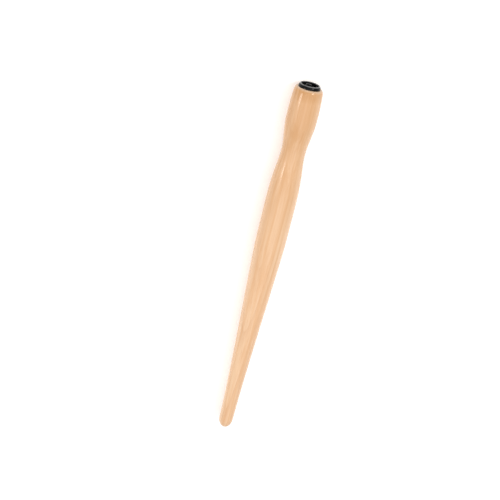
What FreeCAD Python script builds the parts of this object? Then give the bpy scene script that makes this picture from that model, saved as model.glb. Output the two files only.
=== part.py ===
# Dip-pen holder: a turned wooden handle with a sprung metal nib socket in its thick end.
#
# Millimetres. The pen's axis is X. The origin is at the centre of the socket's mouth, +X points
# out of the mouth, +Z is up and the handle runs to -X. Outlines are given as (x, radius) and are
# turned about X. Places along the wood are depths behind its front face.

import FreeCAD, Part
import math
import os

# ---- wooden handle ----
HOLDER_LENGTH = 169.2      # front face to the tip of the tail
FACE_MARGIN = 0.5          # flat wood showing round the metal rim, before the shoulder rounds off
SHOULDER_DEPTH = 2.0       # depth at which the rounded shoulder meets the swell
SHOULDER_DROP = 0.39       # how much less its radius is there than the swell's
SHOULDER_SLOPE = 0.092     # radius gained per millimetre where shoulder and swell meet
SWELL_DEPTH = 14.0         # widest place of the swell at the thick end
SOCKET_WOOD_WALL = 2.57    # wood round the sleeve at the swell
WAIST_DEPTH = 28.1         # finger waist
WAIST_RADIUS = 5.2
BELLY_DEPTH = 54.0         # where the long body reaches its full width
BELLY_LENGTH = 16.0        # straight stretch that the pen lies on
BELLY_RADIUS = 6.68
TAIL_RADIUS = 3.26         # where the taper ends and the tail's dome begins
TAIL_DOME_LENGTH = 5.0

# How far each curve runs on nearly straight before it bends, as a share of its own span
SHOULDER_TO_SWELL = (0.25, 0.54)
SWELL_TO_WAIST = (0.29, 0.23)
WAIST_TO_BELLY = (0.32, 0.66)
BELLY_TO_TAIL = (0.11, 0.26)
DOME_FULLNESS = 0.56       # a little blunter than an ellipse, which has 0.552

# ---- metal sleeve with a curled rim ----
SLEEVE_RADIUS = 4.0        # outside of the tube, pressed into the bore
SLEEVE_WALL = 0.3
SLEEVE_DEPTH = 14.0        # length of tube inside the wood
RIM_OVERHANG = 0.7         # how far the curled rim reaches out past the tube, onto the wood
RIM_HEIGHT = 1.5           # how far the rim stands in front of the wood
RIM_CREST_WIDTH = 0.35     # from the sleeve's inner wall out to the rim's foremost circle

# ---- bore in the wood ----
BORE_EXTRA_DEPTH = 0.5     # room behind the sleeve
DRILL_POINT_ANGLE = 118.0

# ---- spring clip ----
CLIP_SHEET = 0.3           # thickness of its metal
CUP_SETBACK = 0.5          # cup's floor in from the sleeve's back end
CUP_HEIGHT = 2.0
TONGUE_COUNT = 4
TONGUE_TIP_SETBACK = 0.8   # tongue tips behind the mouth
TONGUE_SHEET_WIDTH = 4.0   # width of a tongue's sheet, measured round its curve
PETAL_RADIUS = 1.9         # outside of the curved petal
ROOT_BLEND_LENGTH = 3.0    # over which a tongue's curve goes from the cup's to the petal's
LEAD_IN_LENGTH = 1.5       # bent-in end that lets a nib start
LEAD_IN_BEND = 0.15
TIP_CORNER_RADIUS = 1.2

# ---- clearances ----
PRESS_FIT = 0.0            # sleeve in bore and cup in sleeve touch all round
TONGUE_TO_SLEEVE = 0.1     # outside of a petal to the sleeve's inner wall
TONGUE_TO_CUP = 0.06       # at the root, where the tongue is free to turn

# ---- sizes that follow ----
WOOD_FACE = -RIM_HEIGHT
TAIL_TIP = WOOD_FACE - HOLDER_LENGTH
RIM_RADIUS = SLEEVE_RADIUS + RIM_OVERHANG
FACE_RADIUS = RIM_RADIUS + FACE_MARGIN
SWELL_RADIUS = SLEEVE_RADIUS + SOCKET_WOOD_WALL
SHOULDER_RADIUS = SWELL_RADIUS - SHOULDER_DROP
SLEEVE_INNER_RADIUS = SLEEVE_RADIUS - SLEEVE_WALL
SLEEVE_BACK = WOOD_FACE - SLEEVE_DEPTH
BORE_RADIUS = SLEEVE_RADIUS + PRESS_FIT
BORE_BACK = SLEEVE_BACK - BORE_EXTRA_DEPTH
DRILL_POINT_LENGTH = BORE_RADIUS / math.tan(math.radians(DRILL_POINT_ANGLE / 2))
CUP_BACK = SLEEVE_BACK + CUP_SETBACK
CUP_FRONT = CUP_BACK + CUP_HEIGHT
CUP_RADIUS = SLEEVE_INNER_RADIUS - PRESS_FIT
TONGUE_ROOT = CUP_FRONT + TONGUE_TO_CUP
TONGUE_TIP = -TONGUE_TIP_SETBACK
CREST_RADIUS = SLEEVE_INNER_RADIUS - TONGUE_TO_SLEEVE


def point(x, radius):
    """A point of a turned outline, in the plane through the axis."""
    return FreeCAD.Vector(x, 0, radius)


def wood_point(depth, radius):
    """A point of the handle's outline, at a depth behind its front face."""
    return point(WOOD_FACE - depth, radius)


def line(start, end):
    return Part.LineSegment(start, end).toShape()


def curve(start, start_handle, end_handle, end):
    """A cubic curve through start and end, aimed at its two handles."""
    bezier = Part.BezierCurve()
    bezier.setPoles([start, start_handle, end_handle, end])
    return bezier.toShape()


def ease(start, end, shares):
    """A curve between two (depth, radius) places that leaves and arrives along the axis."""
    span = end[0] - start[0]
    start_handle = wood_point(start[0] + shares[0] * span, start[1])
    end_handle = wood_point(end[0] - shares[1] * span, end[1])
    return curve(wood_point(*start), start_handle, end_handle, wood_point(*end))


def turned(edges):
    """The solid that a closed outline makes when it is turned about X."""
    face = Part.Face(Part.Wire(edges))
    return face.revolve(FreeCAD.Vector(0, 0, 0), FreeCAD.Vector(1, 0, 0), 360)


def shoulder_edges():
    """The rounded shoulder and the rise to the swell."""
    handle = SHOULDER_DEPTH / 2
    slope_handle = wood_point(SHOULDER_DEPTH - handle, SHOULDER_RADIUS - SHOULDER_SLOPE * handle)
    face_handle = wood_point(0, (FACE_RADIUS + SHOULDER_RADIUS) / 2)
    rounding = curve(wood_point(0, FACE_RADIUS), face_handle, slope_handle,
                     wood_point(SHOULDER_DEPTH, SHOULDER_RADIUS))
    span = SWELL_DEPTH - SHOULDER_DEPTH
    lead = SHOULDER_TO_SWELL[0] * span
    rise_handle = wood_point(SHOULDER_DEPTH + lead, SHOULDER_RADIUS + SHOULDER_SLOPE * lead)
    swell_handle = wood_point(SWELL_DEPTH - SHOULDER_TO_SWELL[1] * span, SWELL_RADIUS)
    rise = curve(wood_point(SHOULDER_DEPTH, SHOULDER_RADIUS), rise_handle, swell_handle,
                 wood_point(SWELL_DEPTH, SWELL_RADIUS))
    return [rounding, rise]


def tail_dome_edge():
    """The blunt rounded end of the tail."""
    start_depth = HOLDER_LENGTH - TAIL_DOME_LENGTH
    start_handle = wood_point(start_depth + DOME_FULLNESS * TAIL_DOME_LENGTH, TAIL_RADIUS)
    tip_handle = wood_point(HOLDER_LENGTH, DOME_FULLNESS * TAIL_RADIUS)
    return curve(wood_point(start_depth, TAIL_RADIUS), start_handle, tip_handle,
                 wood_point(HOLDER_LENGTH, 0))


def make_holder():
    """The turned handle, with its drilled bore open at the front face."""
    swell = (SWELL_DEPTH, SWELL_RADIUS)
    waist = (WAIST_DEPTH, WAIST_RADIUS)
    belly = (BELLY_DEPTH, BELLY_RADIUS)
    belly_end = (BELLY_DEPTH + BELLY_LENGTH, BELLY_RADIUS)
    tail = (HOLDER_LENGTH - TAIL_DOME_LENGTH, TAIL_RADIUS)
    drill_tip = point(BORE_BACK - DRILL_POINT_LENGTH, 0)
    edges = shoulder_edges()
    edges.append(ease(swell, waist, SWELL_TO_WAIST))
    edges.append(ease(waist, belly, WAIST_TO_BELLY))
    edges.append(line(wood_point(*belly), wood_point(*belly_end)))
    edges.append(ease(belly_end, tail, BELLY_TO_TAIL))
    edges.append(tail_dome_edge())
    edges.append(line(point(TAIL_TIP, 0), drill_tip))
    edges.append(line(drill_tip, point(BORE_BACK, BORE_RADIUS)))
    edges.append(line(point(BORE_BACK, BORE_RADIUS), point(WOOD_FACE, BORE_RADIUS)))
    edges.append(line(point(WOOD_FACE, BORE_RADIUS), point(WOOD_FACE, FACE_RADIUS)))
    return turned(edges)


def make_ferrule_sleeve():
    """The tube and its rim, whose sheet curls out and back down onto the wood."""
    crest_radius = SLEEVE_INNER_RADIUS + RIM_CREST_WIDTH
    round_in = RIM_CREST_WIDTH / 2
    hem_radius = RIM_RADIUS - SLEEVE_WALL
    inner_start = point(-RIM_CREST_WIDTH, SLEEVE_INNER_RADIUS)
    inner_handles = point(-round_in, SLEEVE_INNER_RADIUS), point(0, crest_radius - round_in)
    crest = point(0, crest_radius)
    rim_handles = point(0, (crest_radius + RIM_RADIUS) / 2), point(WOOD_FACE / 2, RIM_RADIUS)
    rim_foot = point(WOOD_FACE, RIM_RADIUS)
    hem_foot = point(WOOD_FACE, hem_radius)
    hem_handles = point(WOOD_FACE / 2, hem_radius), point(-RIM_CREST_WIDTH, SLEEVE_RADIUS + SLEEVE_WALL / 2)
    hem_top = point(-RIM_CREST_WIDTH - SLEEVE_WALL / 2, SLEEVE_RADIUS)
    edges = [
        line(point(SLEEVE_BACK, SLEEVE_INNER_RADIUS), inner_start),
        curve(inner_start, *inner_handles, crest),
        curve(crest, *rim_handles, rim_foot),
        line(rim_foot, hem_foot),
        curve(hem_foot, *hem_handles, hem_top),
        line(hem_top, point(SLEEVE_BACK, SLEEVE_RADIUS)),
        line(point(SLEEVE_BACK, SLEEVE_RADIUS), point(SLEEVE_BACK, SLEEVE_INNER_RADIUS)),
    ]
    return turned(edges)


def make_clip_base():
    """The clip's cup: a floor and a short skirt."""
    floor_front = CUP_BACK + CLIP_SHEET
    skirt_inner = CUP_RADIUS - CLIP_SHEET
    corners = [
        point(CUP_BACK, 0),
        point(CUP_BACK, CUP_RADIUS),
        point(CUP_FRONT, CUP_RADIUS),
        point(CUP_FRONT, skirt_inner),
        point(floor_front, skirt_inner),
        point(floor_front, 0),
    ]
    return turned([line(a, b) for a, b in zip(corners, corners[1:] + corners[:1])])


def petal_section(x, outer_radius, inset):
    """The tongue's curved strip, cut across at x: its crest lies inset inside CREST_RADIUS."""
    centre = CREST_RADIUS - inset - outer_radius
    middle_radius = outer_radius - CLIP_SHEET / 2
    half_angle = TONGUE_SHEET_WIDTH / middle_radius / 2

    def on_arc(radius, angle):
        return FreeCAD.Vector(x, radius * math.sin(angle), centre + radius * math.cos(angle))

    def arc(radius, start, end):
        middle = on_arc(radius, (start + end) / 2)
        return Part.Arc(on_arc(radius, start), middle, on_arc(radius, end)).toShape()

    inner_radius = outer_radius - CLIP_SHEET
    return Part.Wire([
        arc(outer_radius, -half_angle, half_angle),
        line(on_arc(outer_radius, half_angle), on_arc(inner_radius, half_angle)),
        arc(inner_radius, half_angle, -half_angle),
        line(on_arc(inner_radius, -half_angle), on_arc(outer_radius, -half_angle)),
    ])


def tip_outline():
    """A block as wide as the tongue's sheet, with the tongue's rounded front corners."""
    length = TONGUE_TIP - TONGUE_ROOT
    chord_half_angle = TONGUE_SHEET_WIDTH / (PETAL_RADIUS - CLIP_SHEET / 2) / 2
    petal_width = 2 * PETAL_RADIUS * math.sin(min(chord_half_angle, math.pi / 2))
    clear_of_root = 2 * ROOT_BLEND_LENGTH
    nose = Part.makeBox(length - clear_of_root, petal_width, 2 * CREST_RADIUS,
                        FreeCAD.Vector(TONGUE_ROOT + clear_of_root, -petal_width / 2, 0))
    corners = [edge for edge in nose.Edges
               if edge.BoundBox.XMin > TONGUE_TIP - TIP_CORNER_RADIUS
               and edge.BoundBox.ZLength > CREST_RADIUS]
    nose = nose.makeFillet(TIP_CORNER_RADIUS, corners)
    shank = Part.makeBox(clear_of_root, 2 * CREST_RADIUS, 2 * CREST_RADIUS,
                         FreeCAD.Vector(TONGUE_ROOT, -CREST_RADIUS, 0))
    return nose.fuse(shank)


def make_tongue(angle):
    """One spring tongue: it rises from the cup's curve, arches into a petal and bends in at its tip."""
    sections = [
        petal_section(TONGUE_ROOT, CREST_RADIUS, 0),
        petal_section(TONGUE_ROOT + ROOT_BLEND_LENGTH, PETAL_RADIUS, 0),
        petal_section(TONGUE_TIP - LEAD_IN_LENGTH, PETAL_RADIUS, 0),
        petal_section(TONGUE_TIP, PETAL_RADIUS, LEAD_IN_BEND),
    ]
    strip = Part.makeLoft(sections, True, True)
    tongue = strip.common(tip_outline())
    tongue.rotate(FreeCAD.Vector(0, 0, 0), FreeCAD.Vector(1, 0, 0), angle)
    return tongue


def main():
    os.makedirs("parts", exist_ok=True)
    nodes = {
        "holder": make_holder(),
        "ferrule_sleeve": make_ferrule_sleeve(),
        "clip_base": make_clip_base(),
    }
    for number in range(TONGUE_COUNT):
        nodes[f"tongue_{number + 1}"] = make_tongue(number * 360 / TONGUE_COUNT)
    for name, shape in nodes.items():
        solid = shape.Solids[0]
        solid.exportStep(f"parts/{name}.step")
        print(name, "valid" if solid.isValid() else "NOT VALID", len(shape.Solids), "solid",
              f"{solid.Volume:.2f} mm3")


main()
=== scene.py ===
"""A turned wooden dip-pen holder with a sprung black nib socket, dressed over its fixed CAD frame.

Everything is in metres, in the frame of the CAD model: the pen's axis is X, the origin is the centre
of the socket's mouth, +X points out of the mouth and +Z is up with the pen lying down.
"""
import logging
import math
from dataclasses import dataclass, field
from enum import Enum

import bmesh
import bpy
from mathutils import Matrix, Vector


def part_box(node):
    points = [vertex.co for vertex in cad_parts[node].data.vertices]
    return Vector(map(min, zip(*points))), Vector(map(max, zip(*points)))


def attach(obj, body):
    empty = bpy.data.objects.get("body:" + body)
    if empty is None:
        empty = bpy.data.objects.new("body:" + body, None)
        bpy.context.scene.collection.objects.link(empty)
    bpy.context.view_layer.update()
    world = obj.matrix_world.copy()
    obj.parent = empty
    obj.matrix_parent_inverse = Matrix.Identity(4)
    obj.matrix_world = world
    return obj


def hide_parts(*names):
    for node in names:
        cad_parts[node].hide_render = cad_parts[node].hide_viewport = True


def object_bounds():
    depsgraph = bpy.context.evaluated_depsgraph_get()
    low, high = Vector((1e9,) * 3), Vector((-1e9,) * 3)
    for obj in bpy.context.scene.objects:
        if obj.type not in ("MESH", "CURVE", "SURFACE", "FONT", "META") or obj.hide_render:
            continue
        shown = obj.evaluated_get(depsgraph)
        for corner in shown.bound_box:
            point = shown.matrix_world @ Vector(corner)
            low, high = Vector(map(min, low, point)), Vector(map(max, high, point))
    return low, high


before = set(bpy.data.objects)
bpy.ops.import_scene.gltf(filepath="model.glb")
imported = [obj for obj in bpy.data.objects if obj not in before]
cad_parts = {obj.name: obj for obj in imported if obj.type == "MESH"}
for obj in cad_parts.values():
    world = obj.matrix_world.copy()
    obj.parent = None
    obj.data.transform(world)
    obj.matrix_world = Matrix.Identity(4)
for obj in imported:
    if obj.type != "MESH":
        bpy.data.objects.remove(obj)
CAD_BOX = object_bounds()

LOG = logging.getLogger("penholder")
MM = 0.001
SHARP_ANGLE = math.radians(35)

Point = tuple[float, float]
Colour = tuple[float, float, float]


class Slot(Enum):
    """Names of the material slots."""

    WOOD = "lacquered_wood"
    SOCKET = "black_socket"
    SPRING = "black_spring"


class Body(Enum):
    """The moving bodies that a single piece can ride on, apart from the numbered tongues."""

    HANDLE = "handle"


class Section(Enum):
    """Whether a turned outline meets the axis at both ends or closes on itself as a ring."""

    SOLID = "solid"
    RING = "ring"


# ---------------------------------------------------------------- outlines and turning


def curve(start: Point, start_aim: Point, end_aim: Point, end: Point, steps: int) -> list[Point]:
    """Points along a cubic curve, without its end point.

    Args:
        start: First point, as (x, radius).
        start_aim: Handle that the curve leaves towards.
        end_aim: Handle that the curve arrives from.
        end: Last point, which is left for the next stretch to add.
        steps: Number of points.

    Returns:
        The points, in order.
    """
    points = []
    for step in range(steps):
        t = step / steps
        weights = ((1 - t) ** 3, 3 * t * (1 - t) ** 2, 3 * t * t * (1 - t), t ** 3)
        corners = (start, start_aim, end_aim, end)
        points.append(tuple(sum(w * c[i] for w, c in zip(weights, corners)) for i in (0, 1)))
    return points


def turn(name: str, outline: list[Point], section: Section, segments: int) -> bpy.types.Object:
    """Turns an outline about the pen's axis, as on a lathe.

    Args:
        name: Name of the new piece.
        outline: Points as (x, radius).
        section: Whether the outline ends on the axis or closes on itself.
        segments: Steps round the full turn.

    Returns:
        The piece, closed and with its faces pointing outwards.
    """
    bm = bmesh.new()
    verts = [bm.verts.new((x, 0.0, radius)) for x, radius in outline]
    edges = [bm.edges.new(pair) for pair in zip(verts, verts[1:])]
    if section is Section.RING:
        edges.append(bm.edges.new((verts[-1], verts[0])))
    bmesh.ops.spin(bm, geom=verts + edges, cent=(0, 0, 0), axis=(1, 0, 0), angle=math.tau,
                   steps=segments, use_merge=True)
    bmesh.ops.remove_doubles(bm, verts=bm.verts[:], dist=0.0005 * MM)
    return finish_mesh(name, bm)


def finish_mesh(name: str, bm: bmesh.types.BMesh) -> bpy.types.Object:
    """Makes a smooth-shaded object of a closed bmesh.

    Args:
        name: Name of the new piece.
        bm: The mesh, which is freed.

    Returns:
        The object, at the origin and unturned.
    """
    bmesh.ops.recalc_face_normals(bm, faces=bm.faces[:])
    for face in bm.faces:
        face.smooth = True
    for edge in bm.edges:
        edge.smooth = not edge.is_manifold or edge.calc_face_angle() < SHARP_ANGLE
    mesh = bpy.data.meshes.new(name)
    bm.to_mesh(mesh)
    bm.free()
    piece = bpy.data.objects.new(name, mesh)
    bpy.context.scene.collection.objects.link(piece)
    return piece


def settle(piece: bpy.types.Object, body: str, nodes: list[str]) -> None:
    """Places a finished piece on its body, hides the CAD nodes that it stands for, and logs it.

    Args:
        piece: The finished piece.
        body: The CAD body that it rides on.
        nodes: The CAD nodes that it stands for.
    """
    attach(piece, body)
    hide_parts(*nodes)
    LOG.info("%s: %d faces, rides on %s", piece.name, len(piece.data.polygons), body)


# ---------------------------------------------------------------- finishes


class NodeBench:
    """A material's node tree, with short ways to add and join its nodes."""

    def __init__(self, name: str) -> None:
        """Starts an empty tree that holds only the output and the main shader."""
        self.material = bpy.data.materials.new(name)
        self.material.use_nodes = True
        self.tree = self.material.node_tree
        self.tree.nodes.clear()
        output = self.tree.nodes.new("ShaderNodeOutputMaterial")
        self.shader = self.tree.nodes.new("ShaderNodeBsdfPrincipled")
        self.join(self.shader.outputs["BSDF"], output.inputs["Surface"])

    def join(self, source: bpy.types.NodeSocket, target: bpy.types.NodeSocket) -> None:
        """Links one socket to another."""
        self.tree.links.new(source, target)

    def set(self, **values: float | tuple) -> None:
        """Sets constants on the main shader, with underscores for the spaces in its socket names."""
        for name, value in values.items():
            self.shader.inputs[name.replace("_", " ")].default_value = value

    def place(self, scale: tuple[float, float, float], shift: tuple[float, float, float] = (0, 0, 0),
              source: bpy.types.NodeSocket | None = None) -> bpy.types.NodeSocket:
        """Scales and shifts a position for a pattern.

        Args:
            scale: Pattern scale along each axis.
            shift: Offset added after scaling.
            source: Position to start from, or the object's own metres.

        Returns:
            The placed position.
        """
        if source is None:
            source = self.tree.nodes.new("ShaderNodeTexCoord").outputs["Object"]
        mapping = self.tree.nodes.new("ShaderNodeMapping")
        mapping.inputs["Scale"].default_value = scale
        mapping.inputs["Location"].default_value = shift
        self.join(source, mapping.inputs["Vector"])
        return mapping.outputs["Vector"]

    def along(self) -> bpy.types.NodeSocket:
        """Place along the pen's axis, in metres, 0 at the socket's mouth and falling to the tail."""
        split = self.tree.nodes.new("ShaderNodeSeparateXYZ")
        self.join(self.place((1, 1, 1)), split.inputs[0])
        return split.outputs["X"]

    def noise(self, where: bpy.types.NodeSocket, scale: float, detail: float = 4.0,
              roughness: float = 0.55, distortion: float = 0.0) -> bpy.types.NodeSocket:
        """A cloud pattern from 0 to 1.

        Args:
            where: Position to read it at.
            scale: Pattern scale.
            detail: Number of octaves.
            roughness: Weight of the finer octaves.
            distortion: How far the pattern is pulled about.

        Returns:
            The pattern's value.
        """
        node = self.tree.nodes.new("ShaderNodeTexNoise")
        node.inputs["Scale"].default_value = scale
        node.inputs["Detail"].default_value = detail
        node.inputs["Roughness"].default_value = roughness
        node.inputs["Distortion"].default_value = distortion
        self.join(where, node.inputs["Vector"])
        return node.outputs["Fac"]

    def rings(self, where: bpy.types.NodeSocket, scale: float, wander: float) -> bpy.types.NodeSocket:
        """Growth rings about X, from 0 to 1.

        Args:
            where: Position to read them at, with the tree's heart on its X axis.
            scale: Pattern scale.
            wander: How unevenly the rings are spaced.

        Returns:
            The pattern's value.
        """
        node = self.tree.nodes.new("ShaderNodeTexWave")
        node.wave_type = "RINGS"
        node.rings_direction = "X"
        node.wave_profile = "SAW"
        node.inputs["Scale"].default_value = scale
        node.inputs["Distortion"].default_value = wander
        node.inputs["Detail"].default_value = 3.0
        node.inputs["Detail Scale"].default_value = 0.35
        node.inputs["Detail Roughness"].default_value = 0.5
        self.join(where, node.inputs["Vector"])
        return node.outputs["Fac"]

    def ramp(self, value: bpy.types.NodeSocket, low: float, high: float,
             start: float = 0.0, end: float = 1.0) -> bpy.types.NodeSocket:
        """Eases a value from start to end as it goes from low to high.

        Args:
            value: The value to read.
            low: Where the ease begins.
            high: Where it ends.
            start: Result at low.
            end: Result at high.

        Returns:
            The eased value.
        """
        node = self.tree.nodes.new("ShaderNodeMapRange")
        node.interpolation_type = "SMOOTHSTEP"
        node.inputs["From Min"].default_value = low
        node.inputs["From Max"].default_value = high
        node.inputs["To Min"].default_value = start
        node.inputs["To Max"].default_value = end
        self.join(value, node.inputs["Value"])
        return node.outputs["Result"]

    def maths(self, operation: str, first: bpy.types.NodeSocket,
              second: bpy.types.NodeSocket | float) -> bpy.types.NodeSocket:
        """One sum on two values.

        Args:
            operation: Name of the operation.
            first: A socket.
            second: A socket or a number.

        Returns:
            The result.
        """
        node = self.tree.nodes.new("ShaderNodeMath")
        node.operation = operation
        self.join(first, node.inputs[0])
        if isinstance(second, (int, float)):
            node.inputs[1].default_value = second
        else:
            self.join(second, node.inputs[1])
        return node.outputs["Value"]

    def blend(self, mask: bpy.types.NodeSocket, under: bpy.types.NodeSocket | Colour,
              over: bpy.types.NodeSocket | Colour) -> bpy.types.NodeSocket:
        """Mixes two colours by a mask.

        Args:
            mask: 0 shows under, 1 shows over.
            under: A socket or a colour.
            over: A socket or a colour.

        Returns:
            The mixed colour.
        """
        node = self.tree.nodes.new("ShaderNodeMix")
        node.data_type = "RGBA"
        factor, sides = node.inputs[0], (node.inputs[6], node.inputs[7])
        self.join(mask, factor)
        for socket, colour in zip(sides, (under, over)):
            if isinstance(colour, tuple):
                socket.default_value = (*colour, 1.0)
            else:
                self.join(colour, socket)
        return node.outputs[2]

    def bump(self, height: bpy.types.NodeSocket, depth: float, strength: float,
             target: str = "Normal") -> None:
        """Raises the surface or its clear coat by a pattern.

        Args:
            height: The pattern, 0 to 1.
            depth: Height in metres of a full step.
            strength: Share of it that shows.
            target: Shader socket that takes the new normal.
        """
        node = self.tree.nodes.new("ShaderNodeBump")
        node.inputs["Distance"].default_value = depth
        node.inputs["Strength"].default_value = strength
        self.join(height, node.inputs["Height"])
        self.join(node.outputs["Normal"], self.shader.inputs[target])

    def dress(self, piece: bpy.types.Object) -> None:
        """Gives a piece this finish and no other."""
        piece.data.materials.clear()
        piece.data.materials.append(self.material)


@dataclass(frozen=True)
class LacqueredWood:
    """Pale, close-grained hardwood under a clear gloss lacquer.

    The grain is a solid pattern that runs along the pen: growth rings about a heart well outside the
    turning, streaks, fibres and short dark flecks.
    """

    pale: Colour = (0.825, 0.566, 0.362)
    warm: Colour = (0.770, 0.473, 0.268)
    line: Colour = (0.60, 0.310, 0.155)
    fleck: Colour = (0.46, 0.200, 0.085)
    # deep: the painted shade colour that darkens the thick end and the shoulder
    deep: Colour = (0.56, 0.290, 0.115)
    bare: Colour = (0.57, 0.415, 0.290)
    # colour of a thin dark ring on the end face round the metal rim
    rim_line_colour: Colour = (0.220, 0.115, 0.060)
    heart: tuple[float, float, float] = (0.0, 21.0, 34.0)
    ring_stretch: tuple[float, float, float] = (0.035, 1.0, 1.0)
    wander_stretch: tuple[float, float, float] = (0.018, 0.12, 0.12)
    streak_stretch: tuple[float, float, float] = (0.012, 0.55, 0.55)
    fibre_stretch: tuple[float, float, float] = (0.05, 4.2, 4.2)
    dash_stretch: tuple[float, float, float] = (0.22, 5.5, 5.5)
    ripple_stretch: tuple[float, float, float] = (0.12, 0.4, 0.4)
    ring_scale: float = 0.21
    ring_wander: float = 1.6
    line_weights: tuple[float, float] = (0.08, 0.28)
    fibre_weight: float = 0.50
    dash_weight: float = 0.40
    fibre_roughness: tuple[float, float] = (0.42, 0.58)
    fibre_depth: float = 0.03 * MM
    ripple_depth: float = 0.05 * MM
    # painted shade: reach and strength of the darkening towards the thick end and on the shoulder
    end_shade_reach: tuple[float, float] = (-110 * MM, -10 * MM)
    end_shade: float = 0.60
    shoulder_shade_reach: tuple[float, float] = (-13 * MM, -2.2 * MM)
    shoulder_shade: float = 1.0
    face_depths: tuple[float, float] = (0.9 * MM, 0.1 * MM)
    bareness: float = 0.66
    rim_line_margins: tuple[float, float] = (0.02 * MM, 0.16 * MM)
    lacquer: float = 0.75
    lacquer_roughness: float = 0.17

    def make(self, face_x: float, rim_radius: float) -> NodeBench:
        """Builds the finish.

        Args:
            face_x: Where the wood's front face is.
            rim_radius: Outside of the metal rim that sits on it.

        Returns:
            The finished material's bench.
        """
        bench = NodeBench("lacquered_wood")
        millimetres = bench.place((1 / MM,) * 3)
        wander = bench.noise(bench.place(self.wander_stretch, source=millimetres), 1.0, 2.0)
        growth = bench.rings(bench.place(self.ring_stretch, self.heart, millimetres),
                             self.ring_scale, self.ring_wander)
        late_wood = bench.ramp(growth, 0.55, 1.0)
        streaks = bench.noise(bench.place(self.streak_stretch, source=millimetres), 1.0, 5.0, 0.6, 0.3)
        fibres = bench.noise(bench.place(self.fibre_stretch, source=millimetres), 1.0, 6.0, 0.65, 0.2)
        dashes = bench.noise(bench.place(self.dash_stretch, (7, 3, 5), millimetres), 1.0, 3.0, 0.5)
        ripples = bench.noise(bench.place(self.ripple_stretch, source=millimetres), 1.0, 2.0)
        body = bench.blend(bench.ramp(streaks, 0.34, 0.66), self.pale, self.warm)
        line_weight = bench.ramp(wander, 0.35, 0.65, *self.line_weights)
        body = bench.blend(bench.maths("MULTIPLY", late_wood, line_weight), body, self.line)
        body = bench.blend(bench.ramp(fibres, 0.46, 0.78, 0.0, self.fibre_weight), body, self.line)
        body = bench.blend(bench.ramp(dashes, 0.68, 0.80, 0.0, self.dash_weight), body, self.fleck)
        # painted shade: the thick end and the shoulder are blended towards the deep colour
        body = bench.blend(self.painted_end_shade(bench, streaks), body, self.deep)
        body = self.end_face(bench, body, face_x, rim_radius)
        bench.join(body, bench.shader.inputs["Base Color"])
        bench.join(bench.ramp(fibres, 0.3, 0.7, *self.fibre_roughness), bench.shader.inputs["Roughness"])
        bench.bump(fibres, self.fibre_depth, 0.12)
        bench.bump(ripples, self.ripple_depth, 0.05, "Coat Normal")
        bench.set(Coat_Weight=self.lacquer, Coat_Roughness=self.lacquer_roughness, Coat_IOR=1.5,
                  IOR=1.45, Specular_IOR_Level=0.1)
        return bench

    def painted_end_shade(self, bench: NodeBench, streaks: bpy.types.NodeSocket) -> bpy.types.NodeSocket:
        """Painted shade: the wood darkened towards the thick end and most on the shoulder under the rim.

        Args:
            bench: The finish being built.
            streaks: The streak pattern, which it follows.

        Returns:
            A painted shade mask, 1 where the wood is darkest.
        """
        along = bench.along()
        near = bench.ramp(along, *self.end_shade_reach, 0.0, self.end_shade)
        shoulder = bench.ramp(along, *self.shoulder_shade_reach, 0.0, self.shoulder_shade)
        painted_shade = bench.maths("MAXIMUM", near, shoulder)
        return bench.maths("MULTIPLY", painted_shade, bench.ramp(streaks, 0.3, 0.7, 0.6, 1.0))

    def end_face(self, bench: NodeBench, body: bpy.types.NodeSocket, face_x: float,
                 rim_radius: float) -> bpy.types.NodeSocket:
        """Pales the end face and darkens a thin ring of it where the metal rim meets it.

        Args:
            bench: The finish being built.
            body: Colour of the wood elsewhere.
            face_x: Where the wood's front face is.
            rim_radius: Outside of the metal rim that sits on it.

        Returns:
            The colour of the whole turning.
        """
        across = bench.tree.nodes.new("ShaderNodeVectorMath")
        across.operation = "LENGTH"
        bench.join(bench.place((0, 1, 1)), across.inputs[0])
        deep, shallow = self.face_depths
        at_front = bench.ramp(bench.along(), face_x - deep, face_x - shallow)
        body = bench.blend(bench.maths("MULTIPLY", at_front, self.bareness), body, self.bare)
        # a thin dark ring on the end face, right round the metal rim
        start, end = (rim_radius + margin for margin in self.rim_line_margins)
        near_rim = bench.ramp(across.outputs["Value"], start, end, 1.0, 0.0)
        rim_line_mask = bench.maths("MULTIPLY", near_rim, at_front)
        return bench.blend(rim_line_mask, body, self.rim_line_colour)


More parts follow.
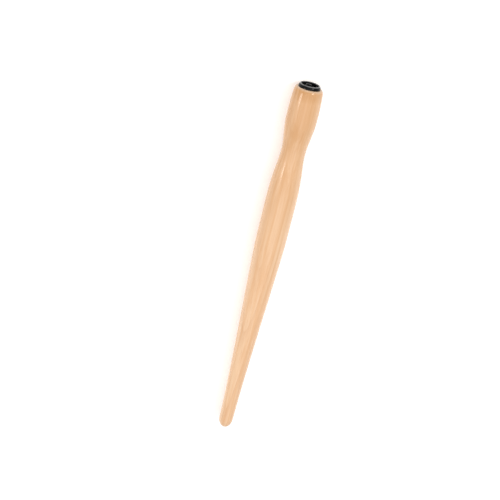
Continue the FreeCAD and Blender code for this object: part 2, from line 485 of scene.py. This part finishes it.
@dataclass(frozen=True)
class BlackJapan:
    """Black japanning baked on steel: a little orange-peel, rubbed to grey steel at the front edge where
    nibs go in; that grey band is partly real wear and partly a painted highlight on the rim's crest and the
    tongue tips.
    """

    name: str
    front_x: float
    black: Colour = (0.0040, 0.0038, 0.0038)
    worn: Colour = (0.045, 0.043, 0.042)
    steel_and_highlight: Colour = (0.340, 0.335, 0.330)
    gloss: float = 0.06
    roughness: tuple[float, float] = (0.20, 0.34)
    coat: float = 0.16
    coat_roughness: float = 0.07
    wear: float = 0.5
    rub_and_highlight_length: float = 0.42 * MM
    rub_and_highlight: float = 0.8
    peel_depth: float = 0.02 * MM

    def make(self) -> NodeBench:
        """Builds the finish."""
        bench = NodeBench(self.name)
        millimetres = bench.place((1 / MM,) * 3)
        clouds = bench.noise(millimetres, 0.9, 4.0)
        peel = bench.noise(millimetres, 3.2, 2.0)
        rubs = bench.noise(bench.place((2.0, 2.0, 2.0), (3, 1, 4), millimetres), 1.0, 6.0, 0.7)
        scuffed = bench.ramp(rubs, 0.60, 0.74, 0.0, self.wear)
        body = bench.blend(scuffed, self.black, self.worn)
        # grey steel band at the front edge: partly real wear, partly a painted highlight on the crest and
        # the tongue tips
        at_front = bench.ramp(bench.along(), self.front_x - self.rub_and_highlight_length, self.front_x, 0.0, self.rub_and_highlight)
        rubbed_and_highlight = bench.maths("MULTIPLY", at_front, bench.ramp(clouds, 0.34, 0.66, 0.5, 1.0))
        bench.join(bench.blend(rubbed_and_highlight, body, self.steel_and_highlight), bench.shader.inputs["Base Color"])
        bench.join(rubbed_and_highlight, bench.shader.inputs["Metallic"])
        bench.join(bench.ramp(clouds, 0.3, 0.7, *self.roughness), bench.shader.inputs["Roughness"])
        bench.bump(peel, self.peel_depth, 0.25)
        bench.set(IOR=1.5, Specular_IOR_Level=self.gloss, Coat_Weight=self.coat,
                  Coat_Roughness=self.coat_roughness, Coat_IOR=1.5)
        return bench


@dataclass(frozen=True)
class PaleFloor:
    """Matt pale acrylic with a faint tooth, lit a little from beneath as on a product table."""

    pale: Colour = (0.93, 0.93, 0.93)
    shade: Colour = (0.91, 0.91, 0.91)
    glow: float = 0.22

    def make(self) -> NodeBench:
        """Builds the finish."""
        bench = NodeBench("pale_acrylic")
        tooth = bench.noise(bench.place((1 / MM,) * 3), 0.6, 3.0)
        bench.join(bench.blend(tooth, self.pale, self.shade), bench.shader.inputs["Base Color"])
        bench.set(Roughness=0.9, Specular_IOR_Level=0.1, Emission_Color=(1.0, 1.0, 1.0, 1.0),
                  Emission_Strength=self.glow)
        return bench


# ---------------------------------------------------------------- the wooden handle


@dataclass
class Handle:
    """The turned handle: shoulder, swell, finger waist, belly, long taper and rounded tail.

    Depths are measured behind the front face, in metres.
    """

    node: str = "holder"
    shoulder_depth: float = 2.0 * MM
    shoulder_slope: float = 0.092
    swell_depth: float = 14.0 * MM
    swell_drop: float = 0.39 * MM
    socket_wood_wall: float = 2.57 * MM
    waist_depth: float = 28.1 * MM
    waist_radius: float = 5.2 * MM
    belly_depth: float = 54.0 * MM
    belly_length: float = 16.0 * MM
    tail_radius: float = 3.26 * MM
    tail_dome: float = 5.0 * MM
    dome_fullness: float = 0.56
    shoulder_to_swell: Point = (0.25, 0.54)
    swell_to_waist: Point = (0.29, 0.23)
    waist_to_belly: Point = (0.32, 0.66)
    belly_to_tail: Point = (0.11, 0.26)
    face_margin: float = 0.5 * MM
    drill_half_angle: float = 59.0
    bore_extra: float = 0.5 * MM
    segments: int = 144
    front_x: float = field(init=False)
    tail_x: float = field(init=False)
    belly_radius: float = field(init=False)

    def __post_init__(self) -> None:
        """Takes the overall sizes from the frame."""
        low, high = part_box(self.node)
        self.front_x, self.tail_x = high[0], low[0]
        self.belly_radius = max(high[1], high[2])

    def at(self, depth: float, radius: float) -> Point:
        """The outline's point at a depth behind the front face."""
        return (self.front_x - depth, radius)

    def ease(self, start: Point, end: Point, shares: Point, steps: int) -> list[Point]:
        """A stretch that leaves and arrives along the axis.

        Args:
            start: (depth, radius) that it leaves.
            end: (depth, radius) that it reaches.
            shares: How far it runs on nearly straight at each end, as shares of its length.
            steps: Number of points.

        Returns:
            The stretch's points, without its end.
        """
        span = end[0] - start[0]
        return curve(self.at(*start), self.at(start[0] + shares[0] * span, start[1]),
                     self.at(end[0] - shares[1] * span, end[1]), self.at(*end), steps)

    def front(self, sleeve_radius: float, rim_radius: float) -> list[Point]:
        """The flat face, the rounded shoulder and the rise to the swell.

        Args:
            sleeve_radius: Outside of the metal sleeve.
            rim_radius: Outside of its rim.

        Returns:
            The outline's points from the bore's mouth to the swell, without the swell's own.
        """
        swell = sleeve_radius + self.socket_wood_wall
        shoulder = swell - self.swell_drop
        face = rim_radius + self.face_margin
        half = self.shoulder_depth / 2
        span = self.swell_depth - self.shoulder_depth
        lead = self.shoulder_to_swell[0] * span
        points = [self.at(0, sleeve_radius)]
        points += curve(self.at(0, face), self.at(0, (face + shoulder) / 2),
                        self.at(half, shoulder - self.shoulder_slope * half),
                        self.at(self.shoulder_depth, shoulder), 12)
        points += curve(self.at(self.shoulder_depth, shoulder),
                        self.at(self.shoulder_depth + lead, shoulder + self.shoulder_slope * lead),
                        self.at(self.swell_depth - self.shoulder_to_swell[1] * span, swell),
                        self.at(self.swell_depth, swell), 12)
        return points

    def outline(self, sleeve_radius: float, rim_radius: float, sleeve_back: float) -> list[Point]:
        """The whole outline, from the drill point round the outside to the tail's tip.

        Args:
            sleeve_radius: Outside of the metal sleeve, which fills the bore.
            rim_radius: Outside of its rim.
            sleeve_back: Where the sleeve's back end is.

        Returns:
            The outline's points, both ends on the axis.
        """
        swell = (self.swell_depth, sleeve_radius + self.socket_wood_wall)
        waist = (self.waist_depth, self.waist_radius)
        belly = (self.belly_depth, self.belly_radius)
        belly_end = (self.belly_depth + self.belly_length, self.belly_radius)
        length = self.front_x - self.tail_x
        tail = (length - self.tail_dome, self.tail_radius)
        bore_back = sleeve_back - self.bore_extra
        drill_point = sleeve_radius / math.tan(math.radians(self.drill_half_angle))
        points = [(bore_back - drill_point, 0.0), (bore_back, sleeve_radius)]
        points += self.front(sleeve_radius, rim_radius)
        points += self.ease(swell, waist, self.swell_to_waist, 22)
        points += self.ease(waist, belly, self.waist_to_belly, 26)
        points.append(self.at(*belly))
        points += self.ease(belly_end, tail, self.belly_to_tail, 48)
        dome_aim = tail[0] + self.dome_fullness * self.tail_dome
        points += curve(self.at(*tail), self.at(dome_aim, self.tail_radius),
                        self.at(length, self.dome_fullness * self.tail_radius), self.at(length, 0), 16)
        points.append(self.at(length, 0.0))
        return points

    def build(self, sleeve_radius: float, rim_radius: float, sleeve_back: float) -> None:
        """Turns and lacquers the handle.

        Args:
            sleeve_radius: Outside of the metal sleeve.
            rim_radius: Outside of its rim.
            sleeve_back: Where the sleeve's back end is.
        """
        outline = self.outline(sleeve_radius, rim_radius, sleeve_back)
        piece = turn("turned_handle", outline, Section.SOLID, self.segments)
        LacqueredWood().make(self.front_x, rim_radius).dress(piece)
        settle(piece, Body.HANDLE.value, [self.node])


# ---------------------------------------------------------------- the metal socket


@dataclass
class Sleeve:
    """The pressed tube whose front edge curls out and back down onto the wood."""

    node: str = "ferrule_sleeve"
    wall: float = 0.3 * MM
    rim_overhang: float = 0.7 * MM
    crest_width: float = 0.35 * MM
    segments: int = 160
    mouth_x: float = field(init=False)
    back_x: float = field(init=False)
    rim_radius: float = field(init=False)
    radius: float = field(init=False)
    inner_radius: float = field(init=False)

    def __post_init__(self) -> None:
        """Takes the overall sizes from the frame."""
        low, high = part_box(self.node)
        self.mouth_x, self.back_x = high[0], low[0]
        self.rim_radius = max(high[1], high[2])
        self.radius = self.rim_radius - self.rim_overhang
        self.inner_radius = self.radius - self.wall

    def outline(self, wood_x: float) -> list[Point]:
        """The tube's and the curl's outline, as a closed ring.

        Args:
            wood_x: Where the wood's front face is, which the curl rests on.

        Returns:
            The outline's points.
        """
        crest = self.inner_radius + self.crest_width
        half_way = (self.mouth_x + wood_x) / 2
        lip_x = self.mouth_x - self.crest_width
        turn_in = self.crest_width / 2
        hem = self.rim_radius - self.wall
        hem_top = lip_x - self.wall / 2
        points = [(self.back_x, self.radius), (self.back_x, self.inner_radius)]
        points += curve((lip_x, self.inner_radius), (self.mouth_x - turn_in, self.inner_radius),
                        (self.mouth_x, crest - turn_in), (self.mouth_x, crest), 8)
        points += curve((self.mouth_x, crest), (self.mouth_x, (crest + self.rim_radius) / 2),
                        (half_way, self.rim_radius), (wood_x, self.rim_radius), 16)
        points.append((wood_x, self.rim_radius))
        points += curve((wood_x, hem), (half_way, hem), (lip_x, self.radius + self.wall / 2),
                        (hem_top, self.radius), 8)
        points.append((hem_top, self.radius))
        return points

    def build(self, wood_x: float) -> None:
        """Turns and blackens the sleeve.

        Args:
            wood_x: Where the wood's front face is.
        """
        piece = turn("curled_sleeve", self.outline(wood_x), Section.RING, self.segments)
        BlackJapan("black_japan_gloss", self.mouth_x).make().dress(piece)
        settle(piece, Body.HANDLE.value, [self.node])


@dataclass
class SpringClip:
    """The stamped clip: a cup in the foot of the sleeve and the curved tongues that grip a nib."""

    cup_node: str = "clip_base"
    tongue_names: tuple[str, ...] = ("tongue_1", "tongue_2", "tongue_3", "tongue_4")
    sheet: float = 0.3 * MM
    cup_corner: float = 0.45 * MM
    petal_radius: float = 1.9 * MM
    sheet_width: float = 4.0 * MM
    sleeve_gap: float = 0.1 * MM
    root_blend: float = 3.0 * MM
    lead_in_length: float = 1.5 * MM
    lead_in_bend: float = 0.15 * MM
    tip_corner: float = 1.2 * MM
    corner_cuts: int = 10
    edge_round: float = 0.05 * MM

    def build_cup(self) -> None:
        """Turns the cup with a rounded corner and blackens it."""
        low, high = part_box(self.cup_node)
        back, front = low[0], high[0]
        outer = max(high[1], high[2])
        inner = outer - self.sheet
        corner = self.cup_corner
        handle = 0.45 * corner
        inside = corner - self.sheet / 2
        points = [(back, 0.0)]
        points += curve((back, outer - corner), (back, outer - handle), (back + handle, outer),
                        (back + corner, outer), 8)
        points += [(back + corner, outer), (front, outer), (front, inner)]
        points += curve((back + self.sheet + inside, inner), (back + self.sheet + inside / 2, inner),
                        (back + self.sheet, inner - inside / 2), (back + self.sheet, inner - inside), 6)
        points += [(back + self.sheet, inner - inside), (back + self.sheet, 0.0)]
        piece = turn("clip_cup", points, Section.SOLID, 96)
        BlackJapan("black_spring_cup", front, roughness=(0.34, 0.48), coat=0.1, rub_and_highlight=0.3).make().dress(piece)
        settle(piece, Body.HANDLE.value, [self.cup_node])

    def press_strip(self, length: float, crest: float) -> bmesh.types.BMesh:
        """Presses a flat strip to the tongue's curve: the cup's at its root, then the petal's.

        Args:
            length: Length of the tongue, which lies along X with its root at x = 0.
            crest: Radius of the tongue's outer crest.

        Returns:
            The outer skin of the tongue at the top, square at its tip and facing outwards.
        """
        bm = bmesh.new()
        bmesh.ops.create_grid(bm, x_segments=44, y_segments=18, size=0.5)
        bmesh.ops.translate(bm, verts=bm.verts[:], vec=(0.5, 0, 0))
        bmesh.ops.scale(bm, verts=bm.verts[:], vec=(length, self.sheet_width, 1))
        for vert in bm.verts:
            x, across = vert.co.x, vert.co.y
            rise = min(x / self.root_blend, 1.0)
            rise = rise * rise * (3 - 2 * rise)
            outer = crest + rise * (self.petal_radius - crest)
            bend = max(1 - (length - x) / self.lead_in_length, 0.0) ** 2 * self.lead_in_bend
            angle = across / (outer - self.sheet / 2)
            centre = crest - outer - bend
            vert.co = (x, outer * math.sin(angle), centre + outer * math.cos(angle))
        return bm

    def round_tip(self, bm: bmesh.types.BMesh, length: float) -> None:
        """Shears the two corners of the tip round, as they are seen from above.

        Args:
            bm: The pressed strip.
            length: Length of the tongue.
        """
        corner = self.tip_corner
        half_angle = self.sheet_width / (self.petal_radius - self.sheet / 2) / 2
        half_width = self.petal_radius * math.sin(half_angle)
        for side in (-1, 1):
            centre = Vector((length - corner, side * (half_width - corner), 0))
            for step in range(1, self.corner_cuts):
                angle = math.pi / 2 * step / self.corner_cuts
                outwards = Vector((math.cos(angle), side * math.sin(angle), 0))
                bmesh.ops.bisect_plane(bm, geom=bm.verts[:] + bm.edges[:] + bm.faces[:], dist=1e-9,
                                       plane_co=centre + corner * outwards, plane_no=outwards,
                                       clear_outer=True)
        bmesh.ops.remove_doubles(bm, verts=bm.verts[:], dist=self.edge_round / 2)

    def build_tongue(self, number: int, name: str, crest: float) -> None:
        """Cuts, presses, thickens and blackens one tongue.

        Args:
            number: Its place round the socket, 0 at the top.
            name: Its node and its body.
            crest: Radius of the tongue's outer crest.
        """
        low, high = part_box(name)
        length = high[0] - low[0]
        bm = self.press_strip(length, crest)
        self.round_tip(bm, length)
        bm.normal_update()
        bmesh.ops.solidify(bm, geom=bm.faces[:], thickness=self.sheet)
        rims = [edge for edge in bm.edges if edge.is_manifold and edge.calc_face_angle() > SHARP_ANGLE]
        bmesh.ops.bevel(bm, geom=rims, offset=self.edge_round, offset_type="OFFSET", affect="EDGES",
                        segments=2, profile=0.5, material=-1, clamp_overlap=True)
        turned = Matrix.Rotation(math.tau * number / len(self.tongue_names), 4, "X")
        bmesh.ops.transform(bm, matrix=turned @ Matrix.Translation((low[0], 0, 0)), verts=bm.verts[:])
        piece = finish_mesh(f"spring_{name}", bm)
        # the tongue's tip gets the grey rubbed band: worn steel and a painted highlight
        finish = BlackJapan(f"black_spring_{number + 1}", high[0], black=(0.010, 0.0095, 0.0095),
                            gloss=0.30, roughness=(0.22, 0.36), coat=0.45)
        finish.make().dress(piece)
        settle(piece, name, [name])

    def build(self, sleeve_inner_radius: float) -> None:
        """Builds the cup and every tongue.

        Args:
            sleeve_inner_radius: Inside of the sleeve that holds the clip.
        """
        self.build_cup()
        for number, name in enumerate(self.tongue_names):
            self.build_tongue(number, name, sleeve_inner_radius - self.sleeve_gap)


# ---------------------------------------------------------------- the studio


class Lamp(Enum):
    """The studio's lamps: where each stands from the socket's mouth, its size, its power and its tint.

    Each value is (direction, distance, width, height, watts, colour).
    """

    LEFT_BOX = ((-0.085, 0.832, 0.548), 1.0, 0.25, 0.26, 1.70, (1.0, 0.96, 0.92))
    LEFT_STRIP = ((-0.22, 0.79, 0.58), 1.05, 0.28, 0.26, 0.40, (1.0, 0.97, 0.94))
    RIGHT_BOX = ((0.400, -0.487, 0.777), 1.0, 0.16, 0.12, 3.40, (1.0, 0.96, 0.91))
    FRONT_STRIP = ((0.78, 0.02, 0.62), 1.2, 1.10, 0.14, 1.3, (1.0, 0.99, 0.98))
    OVERHEAD = ((-0.12, 0.03, 0.99), 1.8, 2.0, 1.6, 9.9, (1.0, 1.0, 1.0))


@dataclass
class Studio:
    """A plain pale floor, soft lamps and a camera looking down over the socket end."""

    camera_place: tuple[float, float, float] = (118.25 * MM, 85.0 * MM, 442.0 * MM)
    azimuth: float = 111.38
    elevation: float = 64.46
    roll: float = 170.29
    picture_size: float = 500.0
    focal_length: float = 1113.8
    floor_size: float = 6.0
    sky: float = 0.575

    def build_floor(self) -> None:
        """Lays the floor under the pen."""
        bm = bmesh.new()
        bmesh.ops.create_grid(bm, x_segments=1, y_segments=1, size=self.floor_size / 2)
        bmesh.ops.translate(bm, verts=bm.verts[:], vec=(0, 0, CAD_BOX[0][2]))
        floor = finish_mesh("pale_floor", bm)
        PaleFloor().make().dress(floor)

    def build_lamps(self) -> None:
        """Hangs the soft boxes and sets the even light around them."""
        for lamp in Lamp:
            direction, distance, width, height, watts, colour = lamp.value
            data = bpy.data.lights.new(lamp.name.lower(), "AREA")
            data.shape = "RECTANGLE"
            data.size = width
            data.size_y = height
            data.energy = watts
            data.color = colour
            place = Vector(direction).normalized() * distance
            light = bpy.data.objects.new(lamp.name.lower(), data)
            aim = place.to_track_quat("Z", "Y").to_matrix().to_4x4()
            light.matrix_world = Matrix.Translation(place) @ aim
            bpy.context.scene.collection.objects.link(light)
        world = bpy.data.worlds.new("even_light")
        world.use_nodes = True
        background = world.node_tree.nodes["Background"]
        background.inputs["Color"].default_value = (1.0, 1.0, 1.0, 1.0)
        background.inputs["Strength"].default_value = self.sky
        bpy.context.scene.world = world
        bpy.context.scene.view_settings.view_transform = "Standard"

    def build_camera(self) -> None:
        """Stands the camera beyond the socket end, looking down along the pen."""
        data = bpy.data.cameras.new("camera")
        data.sensor_width = 36.0
        data.lens = data.sensor_width * self.focal_length / self.picture_size
        data.clip_start = 0.01
        camera = bpy.data.objects.new("camera", data)
        turn_to = Matrix.Rotation(math.radians(self.azimuth), 4, "Z")
        lean = Matrix.Rotation(math.radians(90 - self.elevation), 4, "X")
        roll = Matrix.Rotation(math.radians(self.roll), 4, "Z")
        camera.matrix_world = Matrix.Translation(self.camera_place) @ turn_to @ lean @ roll
        bpy.context.scene.collection.objects.link(camera)
        bpy.context.scene.camera = camera

    def build(self) -> None:
        """Sets up the whole studio."""
        self.build_camera()
        self.build_lamps()
        self.build_floor()
        LOG.info("studio ready")


def main() -> None:
    """Builds the pen holder from its thick end back, then the studio."""
    logging.basicConfig(level=logging.INFO, format="%(name)s: %(message)s")
    handle = Handle()
    sleeve = Sleeve()
    sleeve.build(handle.front_x)
    SpringClip().build(sleeve.inner_radius)
    handle.build(sleeve.radius, sleeve.rim_radius, sleeve.back_x)
    Studio().build()


if __name__ == "__main__":
    main()
